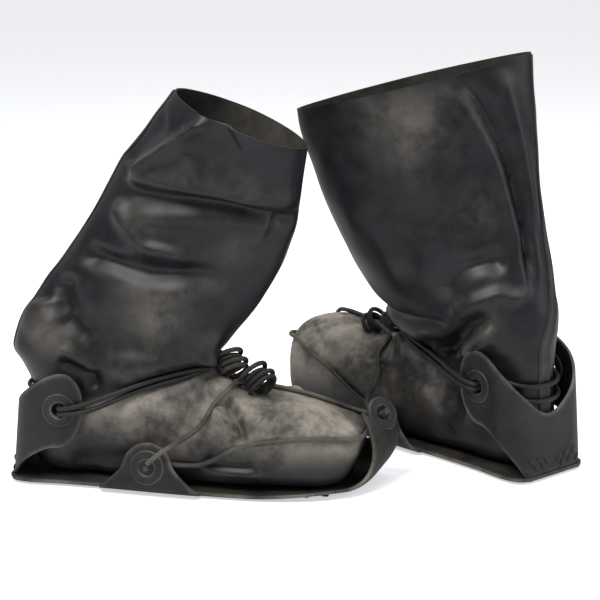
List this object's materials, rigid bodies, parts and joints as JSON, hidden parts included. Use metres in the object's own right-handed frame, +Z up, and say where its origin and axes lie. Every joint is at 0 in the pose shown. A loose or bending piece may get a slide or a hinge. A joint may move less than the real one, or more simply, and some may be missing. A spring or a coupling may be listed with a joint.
{
  "type": "rubber overboots",
  "caption": "Pair of tall soft rubber overboots on flat lace-up soles with a toe tab, side tabs and a fish-tail heel flap, tied round the ankle with a round lace.",
  "frame": {"origin": "bottom centre of the pair's bounding box, on the floor", "axes": "+Z up, +X along the pair's longest extent, from the left boot's heel to the right boot's heel, +Y away from the side with the left boot's tied knot"},
  "size_m": [0.5862, 0.3926, 0.4224],
  "materials": {
    "shaft_rubber": "thin smooth black rubber sheet with a soft sheen",
    "foot_rubber": "the same sheet, scuffed and dusty grey-brown",
    "sole_rubber": "moulded rubber, matt and dusty",
    "flap_rubber": "moulded rubber sheet, dull with tan cut edges",
    "tape_rubber": "bonded rubber strip",
    "lace_rubber": "round rubber cord, matt black"
  },
  "bodies": {
    "left_foot": {"left_sole": "sole_rubber", "left_heel_flap": "flap_rubber", "left_side_tab_inner": "flap_rubber", "left_side_tab_outer": "flap_rubber", "left_eyelet_toe": "flap_rubber", "left_eyelet_heel_inner": "flap_rubber", "left_eyelet_heel_outer": "flap_rubber", "left_eyelet_side_inner": "flap_rubber", "left_eyelet_side_outer": "flap_rubber", "left_foot_bag": "foot_rubber", "left_ankle_bag": "shaft_rubber", "left_heel_tape": "tape_rubber", "left_ankle_tape": "tape_rubber", "left_lace_toe_to_tab": "lace_rubber", "left_lace_tab_to_knot": "lace_rubber", "left_lace_toe_to_knot": "lace_rubber", "left_lace_outer_tab": "lace_rubber", "left_lace_wrap_lower": "lace_rubber", "left_lace_wrap_upper": "lace_rubber", "left_knot_upper": "lace_rubber", "left_knot_lower": "lace_rubber"},
    "left_leg": {"left_shaft": "shaft_rubber", "left_shaft_tape": "tape_rubber"},
    "right_foot": {"right_sole": "sole_rubber", "right_heel_flap": "flap_rubber", "right_side_tab_inner": "flap_rubber", "right_side_tab_outer": "flap_rubber", "right_eyelet_toe": "flap_rubber", "right_eyelet_heel_inner": "flap_rubber", "right_eyelet_heel_outer": "flap_rubber", "right_eyelet_side_inner": "flap_rubber", "right_eyelet_side_outer": "flap_rubber", "right_foot_bag": "foot_rubber", "right_ankle_bag": "shaft_rubber", "right_heel_tape": "tape_rubber", "right_ankle_tape": "tape_rubber", "right_lace_toe_to_tab": "lace_rubber", "right_lace_tab_to_knot": "lace_rubber", "right_lace_toe_to_knot": "lace_rubber", "right_lace_outer_tab": "lace_rubber", "right_lace_wrap_lower": "lace_rubber", "right_lace_wrap_upper": "lace_rubber", "right_knot_upper": "lace_rubber", "right_knot_lower": "lace_rubber"},
    "right_leg": {"right_shaft": "shaft_rubber", "right_shaft_tape": "tape_rubber"}
  },
  "joints": [
    {"name": "left_ankle_bend", "type": "hinge", "parent": "left_foot", "child": "left_leg", "pos_m": [-0.1712, -0.1027, 0.152], "axis": [0.1392, 0.9903, 0], "range_deg": [-25, 20], "stiffness_Nm_per_rad": 4, "deforming": ["left_ankle_bag", "left_ankle_tape"]},
    {"name": "boots_apart", "type": "slide", "parent": "left_foot", "child": "right_foot", "axis": [1, 0, 0], "range_m": [0, 0.35]},
    {"name": "right_ankle_bend", "type": "hinge", "parent": "right_foot", "child": "right_leg", "pos_m": [0.1867, -0.0276, 0.152], "axis": [-0.7771, -0.6293, 0], "range_deg": [-20, 20], "stiffness_Nm_per_rad": 4, "deforming": ["right_ankle_bag", "right_ankle_tape"]}
  ]
}
